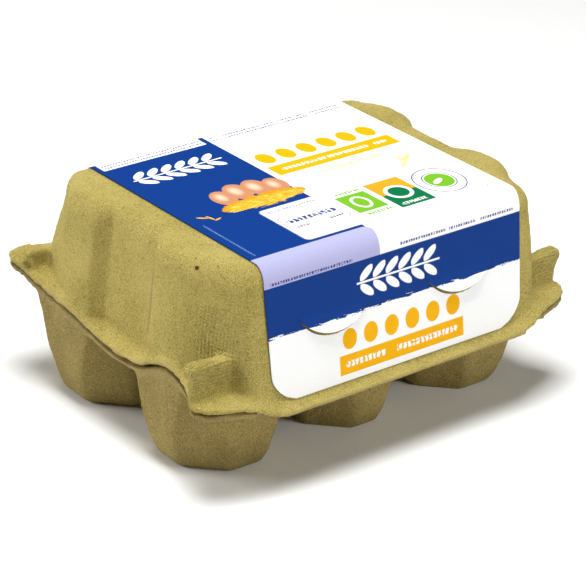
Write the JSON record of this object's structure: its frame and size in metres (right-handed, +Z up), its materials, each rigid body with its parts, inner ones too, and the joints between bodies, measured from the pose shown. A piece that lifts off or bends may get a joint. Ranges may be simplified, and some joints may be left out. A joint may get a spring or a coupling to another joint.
{
  "type": "egg carton",
  "caption": "Shut egg carton of moulded pulp with egg cups below, a ribbed domed lid, corner ears and a printed paper label over the top and front.",
  "frame": {"origin": "on the standing surface under the middle of the carton's bounding box", "axes": "+X along the carton's long side, +Y from the labelled front to the hinge behind, +Z up"},
  "size_m": [0.155, 0.1218, 0.0756],
  "materials": {
    "pulp_lid": "matt",
    "pulp_tray": "matt",
    "printed_paper": "satin"
  },
  "bodies": {
    "root": {"lid": "pulp_lid", "tray": "pulp_tray", "label": "printed_paper", "lock_button_left": "pulp_tray", "lock_button_right": "pulp_tray"}
  },
  "joints": []
}
